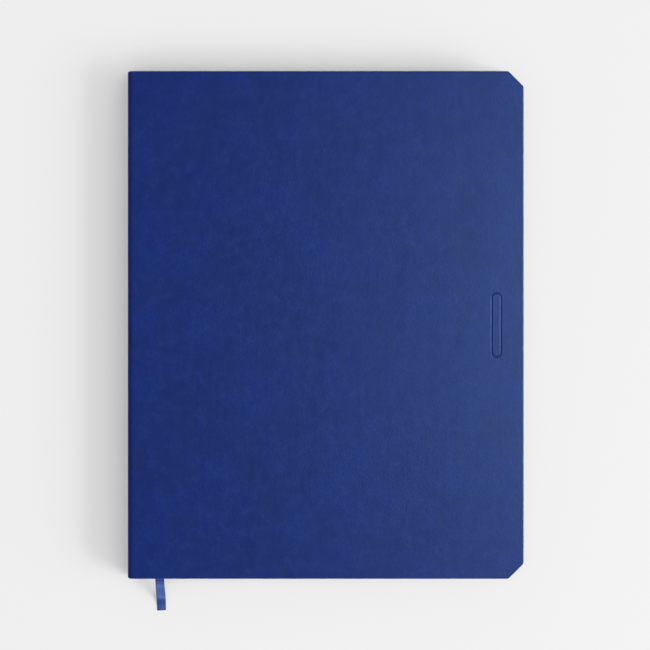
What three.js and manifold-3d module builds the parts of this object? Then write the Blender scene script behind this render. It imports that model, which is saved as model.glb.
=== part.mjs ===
// Pilot logbook: a case-bound book, closed, lying flat on its back cover.
// Millimetres. +X from spine to fore edge, +Y from tail to head, +Z up through the thickness.
// Origin: centre of the book's plan, on the plane it lies on.
import * as THREE from 'three';
import { mergeVertices } from 'three/addons/utils/BufferGeometryUtils.js';
import Module from 'manifold-3d';

const wasm = await Module();
wasm.setup();

// ---- driving dimensions --------------------------------------------------------------------
const COVER_WIDTH = 195;        // spine face to fore edge
const COVER_HEIGHT = 250;       // tail to head
const BOOK_THICKNESS = 17;      // outside of back cover to outside of front cover
const CORNER_CUT = 7.5;         // leg of the 45 degree cut on the fore-edge corners
const SPINE_ROUND = 2.2;        // roll of the cover sheet from the spine into the covers
const SPINE_PLAN_ROUND = 1.0;   // plan radius at the spine's head and tail

const SKIN = 0.7;               // cover sheet
const TURN_IN = 0.5;            // cover sheet where it is pared and folded in
const TURN_IN_WIDTH = 15;
const EDGE_ROUND = 0.6;         // cover sheet's roll over the board's edge
const BOARD = 1.8;
const FIT = 0.05;               // gap between glued neighbours
const PASTEDOWN = 0.15;
const FLYLEAF = 0.12;
const SQUARE = 3.5;             // the cover's overhang past the leaves

const JOINT_AT = 3.0;           // end of the spine sheet, from the spine face
const SEAM = 0.3;               // gap across a joint
const BOARD_AT = 6.0;           // spine edge of the boards, from the spine face
const PASTEDOWN_AT = 5.0;
const LEAVES_AT = 2.9;          // folds of the sections, from the spine face

const SECTIONS = 12;
const SECTION_GAP = 0.03;
const MARKER_GAP = 0.6;         // where the book opens, between the two middle sections

const STRIP = 1.3;              // spine stiffener
const LINING_AT = 2.15;
const LINING = 0.3;
const LINING_LENGTH = 216;
const THREAD_AT = 2.5;
const THREAD = 0.3;
const THREAD_WIDTH = 0.8;
const SEWING_ROWS = 5;
const SEWING_PITCH = 50;
const BAND_AT = 2.85;
const BAND_WIDTH = 1.5;
const BAND_RISE = 1.2;

const RIBBON_WIDTH = 4.5;
const RIBBON = 0.2;
const RIBBON_HEAD_AT = 6.5;     // ribbon's centre at the head, from the spine face
const RIBBON_TAIL_AT = 15.35;   // and where it leaves the tail

const MARK_LENGTH = 32;         // plain blind-pressed outline near the fore edge
const MARK_WIDTH = 5;
const MARK_LINE = 0.5;
const MARK_DEPTH = 0.2;
const MARK_FROM_FORE_EDGE = 13.5;

// ---- places worked out from them -----------------------------------------------------------
const SPINE_X = -COVER_WIDTH / 2;
const FORE_X = COVER_WIDTH / 2;
const HEAD_Y = COVER_HEIGHT / 2;
const MIDDLE_Z = BOOK_THICKNESS / 2;
const COVER = SKIN + BOARD + 2 * FIT + TURN_IN;         // skin, board and turn-in together
const PASTEDOWN_Z = BOOK_THICKNESS - COVER - FIT - PASTEDOWN;
const FLYLEAF_Z = PASTEDOWN_Z - 0.15 - FLYLEAF;
const LEAVES_TOP = FLYLEAF_Z - FIT;
const LEAVES_LOW = MIDDLE_Z + MARKER_GAP / 2;

// ---- helpers -------------------------------------------------------------------------------
function toSolid(geometry) {
  const bare = geometry.index ? geometry.toNonIndexed() : geometry.clone();
  bare.deleteAttribute('normal');
  bare.deleteAttribute('uv');
  const merged = mergeVertices(bare, 1e-5);
  const mesh = new wasm.Mesh({
    numProp: 3,
    vertProperties: new Float32Array(merged.attributes.position.array),
    triVerts: new Uint32Array(merged.index.array),
  });
  return new wasm.Manifold(mesh);
}

function toGeometry(solid) {
  const mesh = solid.getMesh();
  const geometry = new THREE.BufferGeometry();
  const stride = mesh.numProp;
  const positions = new Float32Array((mesh.vertProperties.length / stride) * 3);
  for (let i = 0; i < positions.length / 3; i += 1) {
    positions[3 * i] = mesh.vertProperties[stride * i];
    positions[3 * i + 1] = mesh.vertProperties[stride * i + 1];
    positions[3 * i + 2] = mesh.vertProperties[stride * i + 2];
  }
  geometry.setAttribute('position', new THREE.BufferAttribute(positions, 3));
  geometry.setIndex(new THREE.BufferAttribute(new Uint32Array(mesh.triVerts), 1));
  geometry.computeVertexNormals();
  return geometry;
}

function box(x0, x1, y0, y1, z0, z1) {
  const geometry = new THREE.BoxGeometry(x1 - x0, y1 - y0, z1 - z0);
  geometry.translate((x0 + x1) / 2, (y0 + y1) / 2, (z0 + z1) / 2);
  return geometry;
}

function polygon(points) {
  return new THREE.Shape(points.map(([x, y]) => new THREE.Vector2(x, y)));
}

// Plan of a cover or leaf: set in from the cover's edge, starting at a distance from the spine.
function planOutline(inset, fromSpine) {
  const left = SPINE_X + fromSpine;
  const right = FORE_X - inset;
  const top = HEAD_Y - inset;
  const cut = CORNER_CUT - inset * (2 - Math.SQRT2);
  if (cut <= 0) {
    return polygon([[left, -top], [right, -top], [right, top], [left, top]]);
  }
  return polygon([
    [left, -top],
    [right - cut, -top],
    [right, -top + cut],
    [right, top - cut],
    [right - cut, top],
    [left, top],
  ]);
}

function plate(outline, z0, z1) {
  const geometry = new THREE.ExtrudeGeometry(outline, { depth: z1 - z0, bevelEnabled: false });
  geometry.translate(0, 0, z0);
  return geometry;
}

function roundedPlate(outline, z0, z1, round) {
  const geometry = new THREE.ExtrudeGeometry(outline, {
    depth: z1 - z0 - 2 * round,
    bevelEnabled: true,
    bevelThickness: round,
    bevelSize: round,
    bevelOffset: -round,
    bevelSegments: 4,
  });
  geometry.translate(0, 0, z0 + round);
  return geometry;
}

// A profile drawn in X and Z, run along Y.
function alongY(profile, length) {
  const geometry = new THREE.ExtrudeGeometry(profile, {
    depth: length,
    bevelEnabled: false,
    curveSegments: 8,
  });
  geometry.rotateX(Math.PI / 2);
  geometry.translate(0, length / 2, 0);
  return geometry;
}

// The same piece on the back cover: half a turn about the book's long middle line.
function onTheBack(geometry) {
  const turned = geometry.clone();
  turned.rotateX(Math.PI);
  turned.translate(0, 0, BOOK_THICKNESS);
  return turned;
}

// ---- covers --------------------------------------------------------------------------------
function coverSkin(withMark) {
  const top = BOOK_THICKNESS;
  const low = top - COVER;
  const far = FORE_X + 10;
  const side = HEAD_Y + 10;
  const slab = toSolid(roundedPlate(planOutline(0, -20), low, top, EDGE_ROUND));
  const cover = toSolid(box(SPINE_X + JOINT_AT + SEAM, far, -side, side, low - 1, top + 1));
  const pocket = toSolid(
    plate(planOutline(SKIN, BOARD_AT - 0.1), top - SKIN - BOARD - 2 * FIT, top - SKIN),
  );
  const window = toSolid(
    plate(planOutline(TURN_IN_WIDTH, 0), low - 1, top - SKIN - BOARD),
  );
  const joint = toSolid(
    box(SPINE_X, SPINE_X + BOARD_AT - 0.1 + 0.001, -side, side, low - 1, top - SKIN),
  );
  let skin = slab.intersect(cover).subtract(pocket).subtract(window).subtract(joint);
  if (withMark) {
    skin = skin.subtract(blindMark());
  }
  return toGeometry(skin);
}

function capsule(x, length, width) {
  const shape = new THREE.Shape();
  const half = length / 2 - width / 2;
  shape.absarc(x, half, width / 2, 0, Math.PI, false);
  shape.absarc(x, -half, width / 2, Math.PI, 2 * Math.PI, false);
  shape.closePath();
  return shape;
}

function blindMark() {
  const x = FORE_X - MARK_FROM_FORE_EDGE;
  const low = BOOK_THICKNESS - MARK_DEPTH;
  const outer = toSolid(plate(capsule(x, MARK_LENGTH, MARK_WIDTH), low, BOOK_THICKNESS + 1));
  const inner = toSolid(
    plate(
      capsule(x, MARK_LENGTH - 2 * MARK_LINE, MARK_WIDTH - 2 * MARK_LINE),
      low - 1,
      BOOK_THICKNESS + 2,
    ),
  );
  return outer.subtract(inner);
}

function board() {
  const top = BOOK_THICKNESS - SKIN - FIT;
  return plate(planOutline(SKIN + FIT, BOARD_AT), top - BOARD, top);
}

function pastedown() {
  return plate(planOutline(SQUARE, PASTEDOWN_AT), PASTEDOWN_Z, PASTEDOWN_Z + PASTEDOWN);
}

function flyleaf() {
  return plate(planOutline(SQUARE, LEAVES_AT), FLYLEAF_Z, FLYLEAF_Z + FLYLEAF);
}

// ---- spine ---------------------------------------------------------------------------------
function spineProfile(inset) {
  const left = SPINE_X + inset;
  const right = SPINE_X + JOINT_AT;
  const low = inset;
  const high = BOOK_THICKNESS - inset;
  const round = SPINE_ROUND - inset;
  const shape = new THREE.Shape();
  shape.moveTo(right, low);
  shape.lineTo(right, high);
  shape.lineTo(left + round, high);
  shape.absarc(left + round, high - round, round, Math.PI / 2, Math.PI, false);
  shape.lineTo(left, low + round);
  shape.absarc(left + round, low + round, round, Math.PI, 1.5 * Math.PI, false);
  shape.closePath();
  return shape;
}

function spinePlan() {
  const round = SPINE_PLAN_ROUND;
  const shape = new THREE.Shape();
  shape.moveTo(SPINE_X + 30, -HEAD_Y);
  shape.lineTo(SPINE_X + 30, HEAD_Y);
  shape.lineTo(SPINE_X + round, HEAD_Y);
  shape.absarc(SPINE_X + round, HEAD_Y - round, round, Math.PI / 2, Math.PI, false);
  shape.lineTo(SPINE_X, -HEAD_Y + round);
  shape.absarc(SPINE_X + round, -HEAD_Y + round, round, Math.PI, 1.5 * Math.PI, false);
  shape.closePath();
  return shape;
}

function spineSkin() {
  const outer = toSolid(alongY(spineProfile(0), COVER_HEIGHT));
  const hollow = toSolid(alongY(spineProfile(SKIN), COVER_HEIGHT + 2));
  const mouth = toSolid(
    box(
      SPINE_X + JOINT_AT - 0.5,
      SPINE_X + JOINT_AT + 1,
      -HEAD_Y - 1,
      HEAD_Y + 1,
      SKIN,
      BOOK_THICKNESS - SKIN,
    ),
  );
  const flapFrom = SPINE_X + SKIN + STRIP + 2 * FIT;
  const flapTo = flapFrom + TURN_IN;
  let skin = outer.subtract(hollow).subtract(mouth);
  for (const end of [-1, 1]) {
    const wall = box(
      SPINE_X + 0.5,
      flapTo,
      end > 0 ? HEAD_Y - SKIN : -HEAD_Y,
      end > 0 ? HEAD_Y : -HEAD_Y + SKIN,
      1.2,
      BOOK_THICKNESS - 1.2,
    );
    const flap = box(
      flapFrom,
      flapTo,
      end > 0 ? HEAD_Y - 12 : -HEAD_Y,
      end > 0 ? HEAD_Y : -HEAD_Y + 12,
      1.2,
      BOOK_THICKNESS - 1.2,
    );
    skin = skin.add(toSolid(wall)).add(toSolid(flap));
  }
  const plan = toSolid(plate(spinePlan(), -1, BOOK_THICKNESS + 1));
  return toGeometry(skin.intersect(plan));
}

function spineStrip() {
  const from = SPINE_X + SKIN + FIT;
  const end = HEAD_Y - SKIN - FIT;
  return box(from, from + STRIP, -end, end, SPINE_ROUND, BOOK_THICKNESS - SPINE_ROUND);
}

function crashLining() {
  const from = SPINE_X + LINING_AT;
  const half = LINING_LENGTH / 2;
  const low = BOOK_THICKNESS - LEAVES_TOP;
  return box(from, from + LINING, -half, half, low, LEAVES_TOP);
}

function sewingRow(y) {
  const from = SPINE_X + THREAD_AT;
  const half = THREAD_WIDTH / 2;
  const low = BOOK_THICKNESS - LEAVES_TOP;
  return box(from, from + THREAD, y - half, y + half, low, LEAVES_TOP);
}

// Bead of the woven band, rounded away from the leaves.
function endBand(atHead) {
  const left = SPINE_X + BAND_AT;
  const right = left + BAND_WIDTH;
  const round = 0.5;
  const low = HEAD_Y - SQUARE + 0.1;
  const high = low + BAND_RISE;
  const shape = new THREE.Shape();
  shape.moveTo(left, low);
  shape.lineTo(right, low);
  shape.lineTo(right, high - round);
  shape.absarc(right - round, high - round, round, 0, Math.PI / 2, false);
  shape.lineTo(left + round, high);
  shape.absarc(left + round, high - round, round, Math.PI / 2, Math.PI, false);
  shape.closePath();
  const geometry = plate(shape, BOOK_THICKNESS - LEAVES_TOP, LEAVES_TOP);
  return atHead ? geometry : onTheBack(geometry);
}

// ---- sections ------------------------------------------------------------------------------
// A gathering of folded leaves: rounded at the fold, its fore-edge corners cut like the cover's.
function section(z0, z1) {
  const round = (z1 - z0) / 2;
  const left = SPINE_X + LEAVES_AT;
  const shape = new THREE.Shape();
  shape.moveTo(FORE_X, z0);
  shape.lineTo(FORE_X, z1);
  shape.lineTo(left + round, z1);
  shape.absarc(left + round, z0 + round, round, Math.PI / 2, 1.5 * Math.PI, false);
  shape.closePath();
  const fold = toSolid(alongY(shape, COVER_HEIGHT));
  const plan = toSolid(plate(planOutline(SQUARE, 0), z0 - 1, z1 + 1));
  return toGeometry(fold.intersect(plan));
}

// ---- ribbon --------------------------------------------------------------------------------
// Flat satin ribbon between the middle sections; its tail curves down to the table.
function ribbonMarker() {
  const headX = SPINE_X + RIBBON_HEAD_AT;
  const tailX = SPINE_X + RIBBON_TAIL_AT;
  const tail = HEAD_Y - SQUARE;
  const line = new THREE.CatmullRomCurve3(
    [
      [headX, tail - 0.5, MIDDLE_Z],
      [headX + 2.2, tail / 2, MIDDLE_Z],
      [(headX + tailX) / 2, 0, MIDDLE_Z],
      [tailX - 2.2, -tail / 2, MIDDLE_Z],
      [tailX, -tail, MIDDLE_Z],
      [tailX + 0.05, -HEAD_Y, MIDDLE_Z - 0.3],
      [tailX + 0.15, -HEAD_Y - 3.8, MIDDLE_Z - 1.9],
      [tailX + 0.3, -HEAD_Y - 7.4, MIDDLE_Z - 4.7],
      [tailX + 0.45, -HEAD_Y - 10.8, MIDDLE_Z - 7.2],
      [tailX + 0.55, -HEAD_Y - 13.7, 0.34],
      [tailX + 0.65, -HEAD_Y - 16.8, 0.3],
    ].map((p) => new THREE.Vector3(...p)),
    false,
    'centripetal',
  );
  const steps = 72;
  const w = RIBBON_WIDTH / 2;
  const t = RIBBON / 2;
  const outline = [
    [-w, -t * 0.5],
    [-w + 0.1, -t],
    [w - 0.1, -t],
    [w, -t * 0.5],
    [w, t * 0.5],
    [w - 0.1, t],
    [-w + 0.1, t],
    [-w, t * 0.5],
  ];
  const positions = [];
  const across = new THREE.Vector3(1, 0, 0);
  for (let i = 0; i <= steps; i += 1) {
    // half of the rings lie on the short curved tail
    const u = i < 12 ? (i / 12) * 0.9 : 0.9 + ((i - 12) / (steps - 12)) * 0.1;
    const at = line.getPointAt(u);
    const along = line.getTangentAt(u);
    const up = new THREE.Vector3().crossVectors(across, along).normalize().negate();
    const side = new THREE.Vector3().crossVectors(along, up).normalize();
    for (const [a, b] of outline) {
      positions.push(
        at.x + side.x * a + up.x * b,
        at.y + side.y * a + up.y * b,
        at.z + side.z * a + up.z * b,
      );
    }
  }
  const n = outline.length;
  const index = [];
  for (let i = 0; i < steps; i += 1) {
    for (let k = 0; k < n; k += 1) {
      const a = i * n + k;
      const b = i * n + ((k + 1) % n);
      index.push(a, b + n, b, a, a + n, b + n);
    }
  }
  const last = steps * n;
  for (let k = 1; k < n - 1; k += 1) {
    index.push(0, k, k + 1);
    index.push(last, last + k + 1, last + k);
  }
  const geometry = new THREE.BufferGeometry();
  geometry.setAttribute('position', new THREE.Float32BufferAttribute(positions, 3));
  geometry.setIndex(index);
  geometry.computeVertexNormals();
  return geometry;
}

// ---- the book ------------------------------------------------------------------------------
const LOOKS = {
  leather: { color: 0x1d2f6e, roughness: 0.55, metalness: 0 },
  board: { color: 0x8b8578, roughness: 0.95, metalness: 0 },
  endpaper: { color: 0xe9e4d6, roughness: 0.9, metalness: 0 },
  leaves: { color: 0xf3efe4, roughness: 0.92, metalness: 0 },
  cloth: { color: 0xd9d5c8, roughness: 0.95, metalness: 0 },
  thread: { color: 0xefece2, roughness: 0.8, metalness: 0 },
  band: { color: 0x24397f, roughness: 0.6, metalness: 0 },
  ribbon: { color: 0x2c4a94, roughness: 0.35, metalness: 0 },
};

const book = new THREE.Group();
book.name = 'pilot_logbook';

function place(name, look, geometry) {
  const mesh = new THREE.Mesh(geometry, new THREE.MeshStandardMaterial(LOOKS[look]));
  mesh.name = name;
  book.add(mesh);
}

place('front_cover_skin', 'leather', coverSkin(true));
place('back_cover_skin', 'leather', onTheBack(coverSkin(false)));
place('spine_skin', 'leather', spineSkin());
place('front_board', 'board', board());
place('back_board', 'board', onTheBack(board()));
place('spine_strip', 'board', spineStrip());
place('front_pastedown', 'endpaper', pastedown());
place('back_pastedown', 'endpaper', onTheBack(pastedown()));
place('front_flyleaf', 'endpaper', flyleaf());
place('back_flyleaf', 'endpaper', onTheBack(flyleaf()));

// sections are counted from the front cover down
const perHalf = SECTIONS / 2;
const pitch = (LEAVES_TOP - LEAVES_LOW) / perHalf;
for (let i = 0; i < perHalf; i += 1) {
  const top = LEAVES_TOP - i * pitch;
  const solid = section(top - pitch + SECTION_GAP, top);
  place(`section_${String(i + 1).padStart(2, '0')}`, 'leaves', solid);
  place(`section_${String(SECTIONS - i).padStart(2, '0')}`, 'leaves', onTheBack(solid));
}

place('crash_lining', 'cloth', crashLining());
for (let i = 0; i < SEWING_ROWS; i += 1) {
  const y = (i - (SEWING_ROWS - 1) / 2) * SEWING_PITCH;
  place(`sewing_${i + 1}`, 'thread', sewingRow(y));
}
place('headband', 'band', endBand(true));
place('tailband', 'band', endBand(false));
place('ribbon_marker', 'ribbon', ribbonMarker());

export default book;
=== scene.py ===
import math
import random

import bmesh
import bpy
import numpy as np
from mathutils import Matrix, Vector


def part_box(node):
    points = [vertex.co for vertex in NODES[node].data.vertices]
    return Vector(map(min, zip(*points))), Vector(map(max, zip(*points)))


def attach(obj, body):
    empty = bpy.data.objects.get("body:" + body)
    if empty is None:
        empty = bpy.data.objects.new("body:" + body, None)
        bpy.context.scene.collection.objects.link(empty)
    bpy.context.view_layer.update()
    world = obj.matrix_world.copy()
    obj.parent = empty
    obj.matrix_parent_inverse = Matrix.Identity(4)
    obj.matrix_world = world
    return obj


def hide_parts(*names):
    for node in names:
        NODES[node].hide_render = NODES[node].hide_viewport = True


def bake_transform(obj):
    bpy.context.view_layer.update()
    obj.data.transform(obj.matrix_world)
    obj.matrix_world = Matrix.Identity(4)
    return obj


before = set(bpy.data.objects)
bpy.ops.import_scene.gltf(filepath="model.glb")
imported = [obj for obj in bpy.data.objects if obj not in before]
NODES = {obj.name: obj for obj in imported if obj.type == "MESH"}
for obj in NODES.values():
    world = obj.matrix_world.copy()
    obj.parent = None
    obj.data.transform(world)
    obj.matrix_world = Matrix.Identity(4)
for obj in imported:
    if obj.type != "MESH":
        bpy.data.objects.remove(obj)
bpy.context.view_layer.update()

MM = 0.001
SCENE = bpy.context.scene

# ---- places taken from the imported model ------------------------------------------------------
SPINE_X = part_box("spine_skin")[0].x
FORE_X, HEAD_Y, TOP_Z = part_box("front_cover_skin")[1]
MIDDLE_Z = TOP_Z / 2
LEAF_LOW, LEAF_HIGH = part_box("section_01")
FOLD_X = LEAF_LOW.x                       # the backs of the sections
SQUARE = FORE_X - LEAF_HIGH.x             # the cover's overhang past the leaves
CORNER_CUT = 7.5 * MM                     # leg of the cut fore-edge corners
CORNER_ROUND = 1.5 * MM
LEAF_CUT = CORNER_CUT - SQUARE * (2 - math.sqrt(2))
SPINE_ROUND = 2.2 * MM                    # roll from the spine into the covers
SPINE_PLAN_ROUND = 1.0 * MM
JOINT_X = SPINE_X + 3.2 * MM              # the cover hinges here
BOARD_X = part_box("front_board")[0].x      # spine edge of the boards
SPINE_DEPTH, COVER_DEPTH = 2.0 * MM, 3.1 * MM   # sheet, stiffener and turn-in together
TURN_IN_END = 14.3 * MM                   # how far from the edges the pastedowns step down
RIBBON_WIDTH = 4.5 * MM


# ---- camera ----------------------------------------------------------------------------------
def make_camera():
    """Straight above the book, from far enough for the photograph's flat perspective."""
    data = bpy.data.cameras.new("camera")
    data.type, data.lens, data.sensor_width = "PERSP", 200.0, 36.0
    data.clip_start, data.clip_end = 0.1, 50.0
    obj = bpy.data.objects.new("camera", data)
    SCENE.collection.objects.link(obj)
    obj.location = (-0.315 * MM, -0.015 * MM, TOP_Z + 1.7775)
    SCENE.camera = obj


make_camera()


# ---- mesh helpers ----------------------------------------------------------------------------
def smooth(t):
    t = min(1.0, max(0.0, t))
    return t * t * (3 - 2 * t)


def piece(name, points, faces, material, rest=None, sharp=40, extra=None):
    """A mesh object. rest is a point of the flat material for each vertex, which the textures follow.
    sharp is the angle in degrees past which an edge shades sharp, and extra holds more numbers for each
    vertex."""
    mesh = bpy.data.meshes.new(name)
    mesh.from_pydata([tuple(p) for p in points], [], faces)
    place = mesh.attributes.new("rest", "FLOAT_VECTOR", "POINT")
    place.data.foreach_set("vector", np.array(points if rest is None else rest, np.float32).ravel())
    for key, values in (extra or {}).items():
        number = mesh.attributes.new(key, "FLOAT", "POINT")
        number.data.foreach_set("value", np.array(values, np.float32))
    bm = bmesh.new()
    bm.from_mesh(mesh)
    bmesh.ops.recalc_face_normals(bm, faces=bm.faces)
    bm.to_mesh(mesh)
    bm.free()
    mesh.shade_smooth()
    mesh.set_sharp_from_angle(angle=math.radians(sharp))
    mesh.materials.append(material)
    obj = bpy.data.objects.new(name, mesh)
    SCENE.collection.objects.link(obj)
    return obj


def shell(outside, inside, faces):
    """Closed skin between two surfaces with the same faces: points and faces."""
    n = len(outside)
    edges = dict.fromkeys((a, b) for f in faces for a, b in zip(f, f[1:] + f[:1]))
    rim = [(b, a, a + n, b + n) for a, b in edges if (b, a) not in edges]
    back = [tuple(v + n for v in reversed(f)) for f in faces]
    return list(outside) + list(inside), [tuple(f) for f in faces] + back + rim


def grid_faces(columns, rows):
    return [
        (i * rows + j, (i + 1) * rows + j, (i + 1) * rows + j + 1, i * rows + j + 1)
        for i in range(columns - 1)
        for j in range(rows - 1)
    ]


def bar_faces(rings, around):
    """Faces of a closed bar made of rings with that many points around, one ring after another."""
    faces = []
    for at in range(0, (rings - 1) * around, around):
        for k in range(around):
            k2 = (k + 1) % around
            faces.append((at + k, at + k2, at + around + k2, at + around + k))
    return faces + [tuple(reversed(range(around))), tuple((rings - 1) * around + k for k in range(around))]


def mirrored(values):
    """A symmetric run from low to high, with 0 in the middle, from its positive values, largest first."""
    return [-v for v in values] + [0.0] + list(reversed(values))


# ---- material helpers ------------------------------------------------------------------------
class Paint:
    """A node material made line by line."""

    def __init__(self, name):
        self.material = bpy.data.materials.new(name)
        self.material.use_nodes = True
        self.tree = self.material.node_tree
        self.tree.nodes.clear()
        self.out = self.tree.nodes.new("ShaderNodeOutputMaterial")
        self.column = 0

    def put(self, kind, outlet=0, inputs=None, **settings):
        """One node, with its inputs set to values or linked to sockets; gives back one of its outputs."""
        node = self.tree.nodes.new("ShaderNode" + kind)
        self.column += 1
        node.location = (180 * (self.column % 9) - 1800, -220 * (self.column // 9))
        for key, value in settings.items():
            setattr(node, key, value)
        for key, value in (inputs or {}).items():
            socket = node.inputs[key]
            if isinstance(value, bpy.types.NodeSocket):
                self.tree.links.new(value, socket)
            else:
                socket.default_value = value
        return node.outputs[outlet]

    def rest(self):
        return self.put("Attribute", "Vector", attribute_name="rest")

    def place(self):
        return self.put("TexCoord", "Object")

    def number(self, key):
        return self.put("Attribute", "Fac", attribute_name=key)

    def xyz(self, vector):
        return self.put("SeparateXYZ", 0, {0: vector}).node.outputs

    def math(self, operation, *values):
        return self.put("Math", 0, dict(enumerate(values)), operation=operation)

    def scaled(self, vector, scale):
        return self.put("VectorMath", 0, {0: vector, 1: scale}, operation="MULTIPLY")

    def noise(self, vector, scale, detail=2.0, roughness=0.5, distortion=0.0):
        return self.put(
            "TexNoise", 0, {
                "Vector": vector, "Scale": scale, "Detail": detail, "Roughness": roughness,
                "Distortion": distortion,
            },
        )

    def cells(self, vector, scale, feature="SMOOTH_F1"):
        return self.put("TexVoronoi", "Distance", {"Vector": vector, "Scale": scale}, feature=feature)

    def span(self, value, low, high, to_low=0.0, to_high=1.0):
        return self.put(
            "MapRange", 0,
            {"Value": value, "From Min": low, "From Max": high, "To Min": to_low, "To Max": to_high},
        )

    def mix(self, factor, a, b):
        node = self.tree.nodes.new("ShaderNodeMix")
        node.data_type = "RGBA"
        for index, value in ((0, factor), (6, a), (7, b)):        # the node's Factor, colour A and colour B
            if isinstance(value, bpy.types.NodeSocket):
                self.tree.links.new(value, node.inputs[index])
            else:
                node.inputs[index].default_value = value if index == 0 else (*value, 1.0)
        return node.outputs[2]

    def bump(self, height, distance, strength, under=None):
        inputs = {"Height": height, "Distance": distance, "Strength": strength}
        if under is not None:
            inputs["Normal"] = under
        return self.put("Bump", 0, inputs)

    def finish(self, **sockets):
        """The surface, by the Principled shader's socket names with _ for a space."""
        shader = self.tree.nodes.new("ShaderNodeBsdfPrincipled")
        for key, value in sockets.items():
            socket = shader.inputs[key.replace("_", " ")]
            if isinstance(value, bpy.types.NodeSocket):
                self.tree.links.new(value, socket)
            else:
                socket.default_value = value
        self.tree.links.new(shader.outputs[0], self.out.inputs["Surface"])
        return self.material


def leather_paint():
    """Navy soft-touch sheet: fine pebble grain, faint vertical streaks, mottled colour, rubbed edges."""
    p = Paint("cover_sheet_navy")
    at = p.rest()
    streaks = p.noise(p.scaled(at, (420.0, 26.0, 420.0)), 1.0, 3.0)
    clouds = p.noise(at, 42.0, 5.0, 0.6)
    blotches = p.noise(at, 190.0, 3.0, 0.6, 0.4)
    flecks = p.noise(p.scaled(at, (1100.0, 700.0, 1100.0)), 1.0, 2.0, 0.6)
    grain = p.cells(at, 2300.0)
    pores = p.noise(at, 5200.0, 2.0)
    colour = p.mix(p.span(clouds, 0.32, 0.68), (0.0006, 0.0068, 0.0720), (0.0011, 0.0104, 0.1180))
    colour = p.mix(p.span(streaks, 0.42, 0.66, 0.0, 0.5), colour, (0.0008, 0.0072, 0.0780))
    colour = p.mix(p.span(blotches, 0.50, 0.72, 0.0, 0.8), colour, (0.0018, 0.0116, 0.1180))
    colour = p.mix(p.span(flecks, 0.40, 0.62, 0.0, 0.8), colour, (0.0007, 0.0066, 0.0740))
    colour = p.mix(p.span(grain, 0.0, 0.45, 0.25, 0.0), colour, (0.0007, 0.0060, 0.0580))
    rubbed = p.math("MULTIPLY", p.number("edge"), p.span(p.noise(at, 700.0, 3.0), 0.45, 0.75, 0.0, 0.30))
    colour = p.mix(rubbed, colour, (0.018, 0.040, 0.150))
    rough = p.math(
        "ADD", p.span(blotches, 0.3, 0.7, 0.345, 0.395), p.span(streaks, 0.3, 0.7, -0.015, 0.02)
    )
    normal = p.bump(clouds, 0.00026, 0.5)
    normal = p.bump(streaks, 0.00002, 0.5, normal)
    normal = p.bump(grain, 0.00005, 0.58, normal)
    normal = p.bump(pores, 0.00001, 0.45, normal)
    return p.finish(
        Base_Color=colour, Roughness=rough, Normal=normal, IOR=1.45, Specular_IOR_Level=0.15,
        Specular_Tint=(0.48, 0.74, 1.0, 1.0),
    )


def ruled(p, at, paper):
    """A logbook page's ruling over a paper colour: rows, columns and a tinted heading, no lettering."""
    x, y, _ = p.xyz(at)
    middle_x, half_x, half_y = 0.5 * MM, 82.5 * MM, 105 * MM      # the printed table on the page
    pitch, hair, bold, frame_line = 7.8 * MM, 0.12 * MM, 0.22 * MM, 0.25 * MM
    row = p.math("FRACT", p.math("MULTIPLY", p.math("ADD", y, half_y), 1 / pitch))
    lines = p.math("LESS_THAN", row, 0.030)
    for column in (-66, -44, -28, -12, 8, 20, 32, 44, 56, 72):
        width = bold if column in (-12, 32) else hair
        lines = p.math("MAXIMUM", lines, p.math("COMPARE", x, column * MM, width))
    inside_x = p.math("COMPARE", x, middle_x, half_x)
    inside_y = p.math("COMPARE", y, 0.0, half_y + 0.2 * MM)
    inside = p.math("MULTIPLY", inside_x, inside_y)
    heading = p.math("MULTIPLY", inside, p.math("GREATER_THAN", y, 89.6 * MM))
    footing = p.math("MULTIPLY", inside, p.math("LESS_THAN", y, -81.9 * MM))
    tint = p.math("MAXIMUM", p.math("MULTIPLY", heading, 0.55), p.math("MULTIPLY", footing, 0.35))
    frame_x = p.math("COMPARE", p.math("ABSOLUTE", p.math("SUBTRACT", x, middle_x)), half_x, frame_line)
    frame_y = p.math("COMPARE", p.math("ABSOLUTE", y), half_y, frame_line)
    edge = p.math("MAXIMUM", p.math("MULTIPLY", frame_x, inside_y), p.math("MULTIPLY", frame_y, inside_x))
    ink = p.math("MAXIMUM", p.math("MULTIPLY", lines, inside), edge)
    press = p.span(p.noise(at, 900.0, 2.0), 0.3, 0.7, 0.62, 0.92)
    colour = p.mix(tint, paper, (0.50, 0.66, 0.70))
    return p.mix(p.math("MULTIPLY", ink, press), colour, (0.10, 0.20, 0.30))


def paper_paint(name, light, dark, with_ruling):
    """Uncoated paper: fibres, slight cloudiness, and a tone that changes a little from leaf to leaf."""
    p = Paint(name)
    at = p.rest()
    cloud = p.noise(at, 240.0, 4.0, 0.6)
    fibre = p.noise(p.scaled(at, (2600.0, 900.0, 2600.0)), 1.0, 3.0, 0.6)
    leaf = p.noise(p.scaled(at, (8.0, 8.0, 9000.0)), 1.0, 1.0)
    colour = p.mix(p.span(cloud, 0.3, 0.7), dark, light)
    colour = p.mix(p.span(fibre, 0.55, 0.8, 0.0, 0.25), colour, tuple(0.86 * c for c in dark))
    colour = p.mix(p.span(leaf, 0.35, 0.7, 0.0, 0.22), colour, tuple(0.80 * c for c in dark))
    if with_ruling:
        colour = ruled(p, at, colour)
    normal = p.bump(fibre, 0.00003, 0.45)
    normal = p.bump(cloud, 0.00010, 0.25, normal)
    rough = p.span(fibre, 0.2, 0.8, 0.88, 0.97)
    return p.finish(Base_Color=colour, Roughness=rough, Normal=normal, IOR=1.45, Specular_IOR_Level=0.25)


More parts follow.
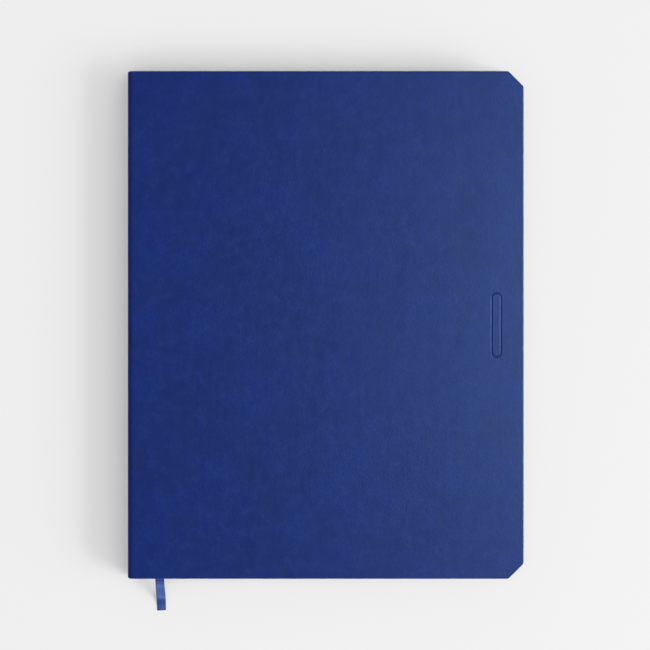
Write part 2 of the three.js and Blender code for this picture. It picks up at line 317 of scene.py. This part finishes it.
def board_paint():
    p = Paint("grey_board_pulp")
    at = p.place()
    pulp = p.noise(at, 520.0, 5.0, 0.65)
    flecks = p.cells(at, 1500.0, "F1")
    colour = p.mix(p.span(pulp, 0.3, 0.7), (0.20, 0.19, 0.165), (0.29, 0.275, 0.24))
    colour = p.mix(p.span(flecks, 0.0, 0.16, 0.6, 0.0), colour, (0.11, 0.105, 0.095))
    return p.finish(
        Base_Color=colour, Roughness=p.span(pulp, 0.3, 0.7, 0.88, 0.98), Normal=p.bump(pulp, 0.0001, 0.6),
    )


def weave_paint(name, light, dark, pitch, depth, rough=0.85, sheen=0.0):
    """Plain weave in the YZ plane: over and under crossings of two threads, with uneven yarn, and painted
    shade that darkens the colour where the weave dips.
    """
    p = Paint(name)
    at = p.place()
    _, y, z = p.xyz(at)
    wave_y, wave_z = (p.math("SINE", p.math("MULTIPLY", c, math.pi / pitch)) for c in (y, z))
    height = p.span(p.math("MULTIPLY", wave_y, wave_z), -1.0, 1.0)
    yarn = p.noise(at, 0.35 / pitch, 3.0)
    # painted shade: the colour runs from light on the raised crossings to dark in the hollows between them
    colour = p.mix(height, dark, light)
    colour = p.mix(p.span(yarn, 0.35, 0.7, 0.0, 0.3), colour, dark)
    return p.finish(
        Base_Color=colour, Roughness=p.span(yarn, 0.3, 0.7, rough - 0.06, rough + 0.06),
        Normal=p.bump(height, depth, 0.8), Sheen_Weight=sheen,
    )


def band_paint():
    """Headband: turns of navy and pale blue thread side by side over a core."""
    p = Paint("band_thread")
    at = p.rest()
    turn = p.math("FRACT", p.math("MULTIPLY", p.xyz(at)[2], 1 / (1.8 * MM)))
    stripe = p.math("GREATER_THAN", turn, 0.5)
    ply = p.noise(p.scaled(at, (2500.0, 2500.0, 9000.0)), 1.0, 3.0)
    colour = p.mix(stripe, (0.62, 0.68, 0.78), (0.012, 0.034, 0.15))
    colour = p.mix(p.span(ply, 0.35, 0.7, 0.0, 0.35), colour, (0.02, 0.03, 0.06))
    return p.finish(
        Base_Color=colour, Roughness=p.span(ply, 0.3, 0.7, 0.42, 0.62),
        Normal=p.bump(ply, 0.00003, 0.7), Sheen_Weight=0.25, Sheen_Roughness=0.4,
    )


def ribbon_paint():
    """Satin ribbon: warp floats along its length, tighter selvedges, a sealed end."""
    p = Paint("ribbon_satin")
    at = p.rest()
    across, along, _ = p.xyz(at)
    warp = p.math("SINE", p.math("MULTIPLY", across, 2 * math.pi / (0.16 * MM)))
    floats = p.noise(p.scaled(at, (9000.0, 700.0, 0.0)), 1.0, 2.0)
    clouds = p.noise(at, 380.0, 3.0)
    colour = p.mix(p.span(floats, 0.3, 0.7), (0.0085, 0.0300, 0.160), (0.0120, 0.0370, 0.185))
    colour = p.mix(p.span(clouds, 0.4, 0.7, 0.0, 0.3), colour, (0.0075, 0.0270, 0.150))
    selvedge = p.span(p.math("ABSOLUTE", across), 1.6 * MM, 2.1 * MM, 0.0, 0.6)
    colour = p.mix(selvedge, colour, (0.0060, 0.0220, 0.130))
    sealed = p.span(along, -0.7 * MM, -0.3 * MM, 0.0, 0.85)
    colour = p.mix(sealed, colour, (0.0060, 0.018, 0.110))
    height = p.math("ADD", p.math("MULTIPLY", warp, 0.35), floats)
    return p.finish(
        Base_Color=colour, Roughness=p.span(floats, 0.3, 0.7, 0.34, 0.44),
        Normal=p.bump(height, 0.00002, 0.6), Anisotropic=0.5, IOR=1.5, Specular_IOR_Level=0.14,
        Specular_Tint=(0.8, 1.0, 0.95, 1.0), Sheen_Weight=0.04, Sheen_Roughness=0.35,
        Sheen_Tint=(0.55, 0.68, 1.0, 1.0),
    )


def floor_paint():
    p = Paint("floor_paper")
    at = p.place()
    tone = p.noise(at, 3.0, 3.0)
    colour = p.mix(p.span(tone, 0.3, 0.7), (0.800, 0.800, 0.803), (0.806, 0.806, 0.808))
    return p.finish(Base_Color=colour, Roughness=0.95, IOR=1.45, Specular_IOR_Level=0.0)


LEATHER = leather_paint()
LEAF_PAPER = paper_paint("leaf_paper", (0.76, 0.735, 0.67), (0.69, 0.66, 0.595), True)
END_PAPER = paper_paint("end_paper", (0.74, 0.71, 0.635), (0.68, 0.645, 0.57), False)


# ---- ribbon ----------------------------------------------------------------------------------
def through(points, steps):
    """Centripetal Catmull-Rom through the points, with that many steps in each span."""
    p = [np.array(q, float) for q in points]
    p = [2 * p[0] - p[1], *p, 2 * p[-1] - p[-2]]
    line = []
    for i, count in zip(range(1, len(p) - 2), steps):
        a, b, c, d = p[i - 1 : i + 3]
        t = np.cumsum([0.0, *(np.linalg.norm(v - u) ** 0.5 for u, v in ((a, b), (b, c), (c, d)))])
        for s in np.linspace(t[1], t[2], count, endpoint=False):
            a1 = (t[1] - s) / (t[1] - t[0]) * a + (s - t[0]) / (t[1] - t[0]) * b
            a2 = (t[2] - s) / (t[2] - t[1]) * b + (s - t[1]) / (t[2] - t[1]) * c
            a3 = (t[3] - s) / (t[3] - t[2]) * c + (s - t[2]) / (t[3] - t[2]) * d
            b1 = (t[2] - s) / (t[2] - t[0]) * a1 + (s - t[0]) / (t[2] - t[0]) * a2
            b2 = (t[3] - s) / (t[3] - t[1]) * a2 + (s - t[1]) / (t[3] - t[1]) * a3
            line.append((t[2] - s) / (t[2] - t[1]) * b1 + (s - t[1]) / (t[2] - t[1]) * b2)
    return np.array([*line, p[-2]])


def make_ribbon():
    """The ribbon runs between the middle leaves, out at the tail, and down to the table."""
    head_x, tail_x, leaf_y = SPINE_X + 6.5 * MM, SPINE_X + 15.35 * MM, HEAD_Y - 3.5 * MM
    route = [
        (head_x, leaf_y - 0.5 * MM, MIDDLE_Z),
        (head_x + 2.2 * MM, leaf_y / 2, MIDDLE_Z),
        ((head_x + tail_x) / 2, 0.0, MIDDLE_Z),
        (tail_x - 2.2 * MM, -leaf_y / 2, MIDDLE_Z),
        (tail_x, -leaf_y, MIDDLE_Z),
        (tail_x + 0.05 * MM, -HEAD_Y, MIDDLE_Z - 0.3 * MM),
        (tail_x + 0.15 * MM, -HEAD_Y - 3.8 * MM, MIDDLE_Z - 1.9 * MM),
        (tail_x + 0.3 * MM, -HEAD_Y - 7.4 * MM, MIDDLE_Z - 4.7 * MM),
        (tail_x + 0.45 * MM, -HEAD_Y - 10.8 * MM, MIDDLE_Z - 7.2 * MM),
        (tail_x + 0.55 * MM, -HEAD_Y - 13.7 * MM, 0.34 * MM),
        (tail_x + 0.65 * MM, -HEAD_Y - 16.8 * MM, 0.3 * MM),
    ]
    line = through(route, [14, 14, 14, 14, 4, 6, 6, 6, 6, 6])
    lengths = np.concatenate([[0.0], np.cumsum(np.linalg.norm(np.diff(line, axis=0), axis=1))])
    total = float(lengths[-1])
    tangent = np.gradient(line, axis=0)
    tangent /= np.linalg.norm(tangent, axis=1)[:, None]
    # the section: flat, with slightly thicker woven selvedges
    half = RIBBON_WIDTH / 2
    right = [(0.28, 0.07), (0.55, 0.07), (0.8, 0.075), (0.88, 0.1), (0.97, 0.09), (1, 0.05)]
    upper = [(-a, t) for a, t in reversed(right)] + [(0, 0.07)] + right
    outline = [(a * half, t * MM) for a, t in upper] + [(a * half, -t * MM) for a, t in reversed(upper)]
    points, rest = [], []
    rng = random.Random(5)
    for i, (at, along) in enumerate(zip(line, tangent)):
        side = np.cross(along, (0.0, 0.0, 1.0))
        side /= np.linalg.norm(side)
        up = np.cross(side, along)
        free = smooth((-at[1] - HEAD_Y) / (6 * MM))       # it crowns once it is free of the leaves
        for a, t in outline:
            crown = -0.15 * MM * free * (a / half) ** 2
            fray = rng.uniform(-0.05, 0.05) * MM if i == len(line) - 1 else 0.0
            points.append(at + side * a + up * (t + crown) + along * fray)
            rest.append((a, lengths[i] - total, 0.0))
    faces = bar_faces(len(line), len(outline))
    obj = piece("ribbon", points, faces, ribbon_paint(), rest)
    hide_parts("ribbon_marker")
    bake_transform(obj)


make_ribbon()


# ---- cover sheet -----------------------------------------------------------------------------
ROLL, UNDER = 0.46 * MM, 0.6 * MM         # radii of the sheet over an edge, and under it into the turn-in
SKIN = 0.38 * MM                          # the sheet's own thickness
ROWS_FROM, COLUMNS_FROM = HEAD_Y - 25 * MM, FORE_X - 27.5 * MM   # beyond these the grid follows the corners
MARK_X, MARK_LENGTH, MARK_WIDTH = FORE_X - 13.5 * MM, 32 * MM, 5 * MM


def edge_profile(depth, roll):
    """(inset, depth) of the sheet's outside and inside as it rolls over an edge and turns in, and how worn
    each is."""
    out, inner, worn = [], [], []
    for a in (0, 18, 36, 54, 72, 90):
        s, c = math.sin(math.radians(a)), math.cos(math.radians(a))
        out.append((roll * (1 - s), roll * (1 - c)))
        inner.append((roll - (roll - SKIN) * s, roll - (roll - SKIN) * c))
        worn.append(math.sin(math.radians(2 * a)))
    for a in (0, 22.5, 45, 67.5, 90):
        s, c = math.sin(math.radians(a)), math.cos(math.radians(a))
        out.append((UNDER * (1 - c), depth - UNDER + UNDER * s))
        inner.append((UNDER - (UNDER - SKIN) * c, depth - UNDER + (UNDER - SKIN) * s))
        worn.append(0.7 * math.sin(math.radians(2 * a)))
    for inset in (2.5, 5.5, 8.5, 11.8):
        out.append((inset * MM, depth))
        inner.append((inset * MM, depth - SKIN))
        worn.append(0.0)
    return out, inner, worn


def corner_run(inset):
    """The cut corner of the cover at that inset, from the head edge round to the fore edge, with both of its
    ends rounded."""
    right, top = FORE_X - inset, HEAD_Y - inset
    cut = CORNER_CUT - inset * (2 - math.sqrt(2))
    r = max(CORNER_ROUND - inset, 0.05 * MM)
    run = []
    for cx, cy, first in ((right - cut, top, 90), (right, top - cut, 45)):
        away = math.radians(first - 22.5)
        back = r / math.cos(math.radians(22.5))
        mx, my = cx - back * math.cos(away), cy - back * math.sin(away)
        for step in (0, 11.25, 22.5, 33.75, 45):
            a = math.radians(first - step)
            run.append((mx + r * math.cos(a), my + r * math.sin(a)))
    between = [tuple(np.array(run[4]) * (1 - t) + np.array(run[5]) * t) for t in (0.2, 0.4, 0.6, 0.8)]
    return run[:5] + between + run[5:]


def blind_mark(x, y):
    """Depth of the pressed outline at a point of the front cover: a plain pill, soft edged."""
    line, depth = 0.55 * MM, 0.22 * MM
    dy = max(abs(y) - (MARK_LENGTH - MARK_WIDTH) / 2, 0.0)
    away = abs(math.hypot(x - MARK_X, dy) - (MARK_WIDTH - line) / 2)
    return depth * (1 - smooth((away - line * 0.30) / (line * 0.55)))


def flat_columns(marked):
    """x of the cover's grid columns, from the joint to where the corner starts."""
    xs = [JOINT_X + t * (BOARD_X - JOINT_X) / 10 for t in range(11)]
    xs += [BOARD_X + t * MM for t in (0.5, 1.2, 2, 3.5, 6, 12, 22, 40, 60, 80, 100, 120, 140)]
    xs += [COLUMNS_FROM]
    if marked:
        xs += [MARK_X - 7 * MM, MARK_X - 4 * MM]
        xs += list(np.arange(MARK_X - 3.2 * MM, MARK_X + 3.21 * MM, 0.16 * MM))
        xs += [MARK_X + 4.2 * MM]
    else:
        start = corner_run(ROLL)[0][0]
        xs += [COLUMNS_FROM + t * (start - COLUMNS_FROM) for t in (0.3, 0.6, 0.85)]
    return xs


# y of the grid's rows in the head half; the first is where the sheet starts to roll over the edge
COARSE_ROWS = [v * MM for v in (124.54, 124.25, 122.5, 120, 116, 110, 105, 100, 85, 70, 55, 40, 28, 20)]
PLAIN_ROWS = mirrored([*COARSE_ROWS, 10 * MM])
MARKED_ROWS = mirrored([*COARSE_ROWS, 17.5 * MM, *np.arange(16.8 * MM, 0.1 * MM, -0.16 * MM)])


def row_at(row, reach):
    """A grid row's y in a column whose end is at reach."""
    if abs(row) <= ROWS_FROM:
        return row
    full = HEAD_Y - ROLL - ROWS_FROM
    return math.copysign(ROWS_FROM + (abs(row) - ROWS_FROM) * (reach - ROWS_FROM) / full, row)


def spine_path(top):
    """Columns from the middle of the spine round its edge to the joint: (x, z, inward x, inward z)."""
    face, sign = (TOP_Z, 1) if top else (0.0, -1)
    path = []
    for z in np.linspace(MIDDLE_Z, face - sign * SPINE_ROUND, 6):
        path.append((SPINE_X, z, 1.0, 0.0))
    for a in range(15, 91, 15):
        s, c = math.sin(math.radians(a)), math.cos(math.radians(a))
        path.append((SPINE_X + SPINE_ROUND * (1 - c), face - sign * SPINE_ROUND * (1 - s), c, -sign * s))
    path += [(SPINE_X + t * MM, face, 0.0, -sign) for t in (2.45, 2.7, 2.95)]
    return path + [(JOINT_X, face, 0.0, -sign)]


def cover_sheet(name, lead, face_z=None, marked=False):
    """Part of the cover sheet as one closed skin. lead is spine_path columns; then, if face_z is given, a
    cover from the joint to the fore edge, with its cut corners."""
    rows = MARKED_ROWS if marked else PLAIN_ROWS
    inward = -1.0 if face_z == TOP_Z else 1.0
    flat = [] if face_z is None else flat_columns(marked)
    if lead and flat:
        flat = flat[1:]
    corner = corner_run(ROLL) if flat else []
    columns = len(lead) + len(flat) + len(corner)

    def roll(i):
        """The sheet rolls wider over the ends of the spine than over the covers' edges."""
        return ROLL + (SPINE_PLAN_ROUND - ROLL) * smooth(lead[i][2]) if i < len(lead) else ROLL

    def rim(i, inset):
        """Plan place of column i's head end at an inset: x, y."""
        if i < len(lead):
            return lead[i][0], HEAD_Y - inset
        i -= len(lead)
        start = corner_run(inset)
        if i >= len(flat):
            return start[i - len(flat)]
        x = flat[i]
        if x > COLUMNS_FROM:
            stretch = (start[0][0] - COLUMNS_FROM) / (corner[0][0] - COLUMNS_FROM)
            x = COLUMNS_FROM + (x - COLUMNS_FROM) * stretch
        return x, HEAD_Y - inset

    def sunk(i, x, y, depth):
        """The point that far under the outer face in column i."""
        if i < len(lead):
            return (x + lead[i][2] * depth, y, lead[i][1] + lead[i][3] * depth)
        return (x, y, face_z + inward * depth)

    def cover_depth(i):
        if i < len(lead):
            return SPINE_DEPTH
        x = rim(i, ROLL)[0]
        return SPINE_DEPTH + (COVER_DEPTH - SPINE_DEPTH) * smooth((x - JOINT_X) / (BOARD_X - JOINT_X))

    out, inner, worn = [], [], []
    for i in range(columns):
        x, reach = rim(i, roll(i))
        for row in rows:
            y = row_at(row, reach)
            dip = blind_mark(x, y) if marked else 0.0
            out.append(sunk(i, x, y, dip))
            inner.append(sunk(i, x, y, SKIN))
            worn.append(0.0)
    faces = grid_faces(columns, len(rows))
    # rings of the rolled edge, out from the grid's rim: tail end, fore edge, head end
    tail = [(i, -1) for i in range(columns)]
    fore = [("fore", j) for j in range(1, len(rows) - 1)] if flat else []
    head = [(i, 1) for i in reversed(range(columns))]
    runs = [tail + fore + head] if flat else [tail, head]
    profiles = [edge_profile(cover_depth(i), roll(i)) for i in range(columns)]
    for run in runs:
        before = []
        for kind, j in run:
            if kind == "fore":
                before.append((columns - 1) * len(rows) + j)
            else:
                before.append(kind * len(rows) + (0 if j < 0 else len(rows) - 1))
        for k in range(1, len(profiles[0][0])):
            ring = []
            for kind, j in run:
                profile = profiles[columns - 1 if kind == "fore" else kind]
                ring.append(len(out))
                for into, (inset, depth) in ((out, profile[0][k]), (inner, profile[1][k])):
                    if kind == "fore":
                        reach = corner_run(inset)[-1][1]
                        into.append((FORE_X - inset, row_at(rows[j], reach), face_z + inward * depth))
                    else:
                        x, y = rim(kind, inset)
                        into.append(sunk(kind, x, j * y, depth))
                worn.append(profile[2][k])
            faces += [(b, a, c, d) for a, b, c, d in zip(before, before[1:], ring, ring[1:])]
            before = ring
    points, closed = shell(out, inner, faces)
    extra = {"edge": worn + [0.0] * len(worn)}
    return piece(name, points, closed, LEATHER, sharp=55, extra=extra)


def make_cover():
    # the sheet bends slantwise across the spine's rounded edges, so its turned-in ends stay with the spine
    lower = cover_sheet("cover_back", spine_path(False), 0.0)
    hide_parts("back_cover_skin")
    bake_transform(lower)
    upper = cover_sheet("cover_spine", spine_path(True))
    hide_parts("spine_skin")
    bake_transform(upper)
    front = cover_sheet("cover_front", [], TOP_Z, marked=True)
    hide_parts("front_cover_skin")
    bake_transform(front)


make_cover()


# ---- leaves ----------------------------------------------------------------------------------
SECTIONS = 12
SWEEP = (-1.0, -0.5, 0.0, 0.5, 1.0)       # where a leaf's points lie along its half length


def leaf_reach(x, edge_x, half):
    """Half length of a leaf at x, with its cut fore corners."""
    return half - max(0.0, x - (edge_x - LEAF_CUT))


def swept(name, loops, material):
    """Sheets with an XZ outline and a length in Y. Each loop is an outside and an inside, both lists of
    (x, z, half length)."""
    points, faces = [], []
    for outside, inside in loops:
        skin = []
        for side in (outside, inside):
            skin.append([(x, t * half, z) for x, z, half in side for t in SWEEP])
        more, closed = shell(*skin, grid_faces(len(outside), len(SWEEP)))
        faces += [tuple(v + len(points) for v in f) for f in closed]
        points += more
    return piece(name, points, faces, material, sharp=50)


def section(name, number, rng):
    """Four folded sheets one inside the other, trimmed together."""
    low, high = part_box(name)
    middle, sheets = (low.z + high.z) / 2, 4
    pitch = (high.z - low.z) / (2 * sheets)
    fold_x = FOLD_X + (high.z - low.z) / 2
    bend = 5 * MM + (min(number, SECTIONS + 1 - number) - 1) / 5 * 9 * MM   # how far from the fold it curves
    edges = list(np.linspace(fold_x, FOLD_X + bend, 18))
    edges += [FOLD_X + bend + t * MM for t in (2, 8, 30, 90)]
    loops = []
    for s in range(sheets):
        radius = pitch * (sheets - s)
        paper = pitch - 0.006 * MM
        trims = [high.x - rng.uniform(0.0, 0.10) * MM for _ in range(2)]
        half = high.y - rng.uniform(0.0, 0.07) * MM
        outside, inside = [], []
        for sign, trim in zip((1, -1), trims):
            xs = edges + [trim - LEAF_CUT, trim - LEAF_CUT / 2, trim]
            run = [(x, middle + sign * radius, leaf_reach(x, trim, half)) for x in xs]
            under = [(x, middle + sign * (radius - paper), h) for x, _, h in run]
            if sign > 0:
                outside += reversed(run)
                inside += reversed(under)
                for a in (112.5, 135, 157.5, 180, 202.5, 225, 247.5):
                    c, n = math.cos(math.radians(a)), math.sin(math.radians(a))
                    outside.append((fold_x + radius * c, middle + radius * n, half))
                    inside.append((fold_x + (radius - paper) * c, middle + (radius - paper) * n, half))
            else:
                outside += run
                inside += under
        loops.append((outside, inside))
    obj = swept(name.replace("section", "leaves"), loops, LEAF_PAPER)
    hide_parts(name)
    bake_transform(obj)


def make_leaves():
    rng = random.Random(11)
    for number in range(1, SECTIONS + 1):
        section(f"section_{number:02d}", number, rng)
    for side, body in (("front", "front_leaves"), ("back", "back_half")):
        low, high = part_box(f"{side}_flyleaf")
        toward = 1 if side == "front" else -1
        outer = high.z if side == "front" else low.z
        thick, turn = high.z - low.z, 0.075 * MM
        fold = (FOLD_X + turn + thick, outer + toward * turn)       # centre of the turn towards the pastedown
        xs = list(np.linspace(fold[0], high.x - LEAF_CUT, 10)) + [high.x - LEAF_CUT / 2, high.x]
        outside = [(x, outer - toward * thick, leaf_reach(x, high.x, high.y)) for x in reversed(xs)]
        inside = [(x, outer, leaf_reach(x, high.x, high.y)) for x in reversed(xs)]
        for a in range(30, 181, 30):
            s, c = math.sin(math.radians(a)), math.cos(math.radians(a))
            r = turn + thick
            outside.append((fold[0] - r * s, fold[1] - toward * r * c, high.y))
            inside.append((fold[0] - turn * s, fold[1] - toward * turn * c, high.y))
        obj = swept(f"flyleaf_{side}", [(outside, inside)], END_PAPER)
        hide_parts(f"{side}_flyleaf")
        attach(obj, body)


make_leaves()


# ---- pastedowns ------------------------------------------------------------------------------
def pastedown(side):
    """Endpaper glued inside a cover: it bridges the joint, and steps down where the turn-ins end."""
    low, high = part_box(f"{side}_pastedown")
    toward = 1 if side == "front" else -1                           # towards its cover
    inner = low.z if side == "front" else high.z
    thick, step = high.z - low.z, 0.22 * MM
    xs = list(np.linspace(FOLD_X + 0.2 * MM, BOARD_X + 1 * MM, 14))
    xs += [BOARD_X + t * MM for t in (1.5, 2, 2.5, 3, 4, 20, 60, 110, 150)]
    xs += [FORE_X - t * MM for t in (17, 16, 15.6, 15.3, 15.0, 14.7, 14.4, 14, 13)]
    xs += list(np.linspace(high.x - LEAF_CUT, high.x, 6))
    ys = [121.5, 118, 113, 112, 111.6, 110.9, 110.6, 110.3, 110.0, 109.7, 109.4, 108, 100, 60, 20]
    ys = mirrored([y * MM for y in ys])
    corner_y = 100 * MM                                             # beyond this the rows follow the corners
    front, back = [], []
    for x in xs:
        reach = leaf_reach(x, high.x, high.y)
        stretch = (reach - corner_y) / (high.y - corner_y)
        for row in ys:
            y = row
            if abs(row) > corner_y:
                y = math.copysign(corner_y + (abs(row) - corner_y) * stretch, row)
            within = min(FORE_X - TURN_IN_END - x, HEAD_Y - TURN_IN_END - abs(y))
            rise = step * smooth(within / (1.2 * MM)) * smooth((x - BOARD_X - 0.8 * MM) / (2 * MM))
            front.append((x, y, inner + toward * rise))
            back.append((x, y, inner + toward * (rise + thick)))
    points, faces = shell(front, back, grid_faces(len(xs), len(ys)))
    obj = piece(f"pastedown_{side}", points, faces, END_PAPER)
    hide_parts(f"{side}_pastedown")
    if side == "front":
        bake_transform(obj)
    else:
        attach(obj, "back_half")


pastedown("front")
pastedown("back")


# ---- headbands -------------------------------------------------------------------------------
def headband(name):
    """A core wound with two colours of thread, standing at the end of the leaves' folds."""
    low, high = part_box(name)
    cx, cy = (low.x + high.x) / 2, (low.y + high.y) / 2
    rx, ry = (high.x - low.x) / 2, (high.y - low.y) / 2
    steps, around = round((high.z - low.z) / (0.1 * MM)), 18
    points = []
    for i in range(steps + 1):
        z = low.z + (high.z - low.z) * i / steps
        wind = abs(math.sin(math.pi * (z / (0.45 * MM))))            # a swell for each turn of thread
        closing = math.sqrt(smooth(min(z - low.z, high.z - z) / (0.5 * MM)) * 0.75 + 0.25)
        swell = (0.90 + 0.10 * wind) * closing
        for k in range(around):
            a = 2 * math.pi * k / around
            points.append((cx + rx * swell * math.cos(a), cy + ry * swell * math.sin(a), z))
    obj = piece(f"{name}_wound", points, bar_faces(steps + 1, around), BAND, sharp=60)
    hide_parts(name)
    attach(obj, "spine")


BAND = band_paint()
headband("headband")
headband("tailband")


# ---- spine card ------------------------------------------------------------------------------
def spine_card():
    """The stiffener inside the spine, between the sheet and its turned-in ends."""
    low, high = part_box("spine_strip")
    r = 0.18 * MM                                                   # its rounded long edges
    left, right = low.x + r, SPINE_X + SPINE_DEPTH - SKIN - 0.02 * MM - r
    bottom, top = low.z + r, high.z - r
    outline = []
    for cx, cz, first in ((right, top, 0), (left, top, 90), (left, bottom, 180), (right, bottom, 270)):
        for a in (0, 30, 60, 90):
            t = math.radians(first + a)
            outline.append((cx + r * math.cos(t), cz + r * math.sin(t)))
    ends = (-high.y, -60 * MM, 0.0, 60 * MM, high.y)
    points = [(x, y, z) for y in ends for x, z in outline]
    card = weave_paint("spine_strip_card", (0.34, 0.32, 0.28), (0.27, 0.25, 0.215), 0.9 * MM, 0.00002)
    obj = piece("spine_card", points, bar_faces(len(ends), len(outline)), card)
    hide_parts("spine_strip")
    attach(obj, "spine")


spine_card()


# ---- CAD parts that stay ---------------------------------------------------------------------
def paint(material, *names):
    for name in names:
        for slot in NODES[name].material_slots:
            slot.material = material


paint(board_paint(), "front_board", "back_board")
paint(
    weave_paint("lining_gauze", (0.74, 0.72, 0.66), (0.42, 0.40, 0.35), 0.7 * MM, 0.0002),
    "crash_lining",
)
paint(
    weave_paint("sewing_thread", (0.80, 0.78, 0.72), (0.55, 0.53, 0.48), 0.3 * MM, 0.0001, 0.6, 0.2),
    *[f"sewing_{n}" for n in range(1, 6)],
)


# ---- floor, light and picture ----------------------------------------------------------------
def make_floor():
    mesh = bpy.data.meshes.new("floor")
    half = 6.0
    corners = [(-half, -half, 0), (half, -half, 0), (half, half, 0), (-half, half, 0)]
    mesh.from_pydata(corners, [], [(0, 1, 2, 3)])
    mesh.materials.append(floor_paint())
    obj = bpy.data.objects.new("floor", mesh)
    SCENE.collection.objects.link(obj)


def softbox(name, place, aim, size, power, colour=(1.0, 1.0, 1.0), diffuse=True, glossy=True):
    """An area light that aims at a point and isn't seen itself."""
    data = bpy.data.lights.new(name, "AREA")
    data.shape, data.size, data.size_y = "RECTANGLE", size[0], size[1]
    data.energy, data.color = power, colour
    obj = bpy.data.objects.new(name, data)
    SCENE.collection.objects.link(obj)
    obj.location = place
    obj.rotation_mode = "QUATERNION"
    obj.rotation_quaternion = (Vector(aim) - Vector(place)).to_track_quat("-Z", "Y")
    obj.visible_camera = False
    obj.visible_diffuse = diffuse
    obj.visible_glossy = glossy


def make_light():
    """A key from the fore edge for the diffuse light, two lamps that only gloss sees, and a soft room."""
    softbox("key", (1.74, -0.60, 0.78), (0, 0, 0), (1.6, 1.2), 63.0, (0.99, 0.995, 1.0), glossy=False)
    softbox("glint", (-0.08, -1.10, 0.34), (-0.08, -0.13, 0), (0.50, 0.30), 9.5, diffuse=False)
    softbox("sheen", (0.57, 0.0, 1.20), (0, 0, 0), (0.30, 0.30), 50.0, (0.89, 0.91, 1.0), diffuse=False)
    world = bpy.data.worlds.new("studio")
    world.use_nodes = True
    tree = world.node_tree
    tree.nodes.clear()
    # the room is brighter round the sides than overhead
    place = tree.nodes.new("ShaderNodeTexCoord")
    parts = tree.nodes.new("ShaderNodeSeparateXYZ")
    ramp = tree.nodes.new("ShaderNodeMapRange")
    ramp.inputs["From Min"].default_value, ramp.inputs["From Max"].default_value = 0.0, 1.0
    ramp.inputs["To Min"].default_value, ramp.inputs["To Max"].default_value = 1.38, 0.88
    back = tree.nodes.new("ShaderNodeBackground")
    back.inputs["Color"].default_value = (1.0, 0.995, 0.985, 1.0)
    out = tree.nodes.new("ShaderNodeOutputWorld")
    tree.links.new(place.outputs["Generated"], parts.inputs[0])
    tree.links.new(parts.outputs[2], ramp.inputs["Value"])
    tree.links.new(ramp.outputs[0], back.inputs["Strength"])
    tree.links.new(back.outputs[0], out.inputs["Surface"])
    SCENE.world = world


def make_picture():
    """The camera's response: linear in the darks, with a shoulder that rolls off to a pale grey white."""
    view = SCENE.view_settings
    view.view_transform = "Standard"
    view.use_curve_mapping = True
    mapping = view.curve_mapping
    white = 1.275
    mapping.white_level = (white, white, white)
    curve = mapping.curves[3]
    points = [(0.0, 0.0), (0.35, 0.35), (0.68, 0.65), (0.95, 0.807), (1.10, 0.847), (white, 0.879)]
    curve.points[0].location = points[0]
    curve.points[1].location = (1.0, points[-1][1])
    for x, y in points[1:-1]:
        curve.points.new(x / white, y)
    for point in curve.points:
        point.handle_type = "VECTOR"
    mapping.update()


make_floor()
make_light()
make_picture()
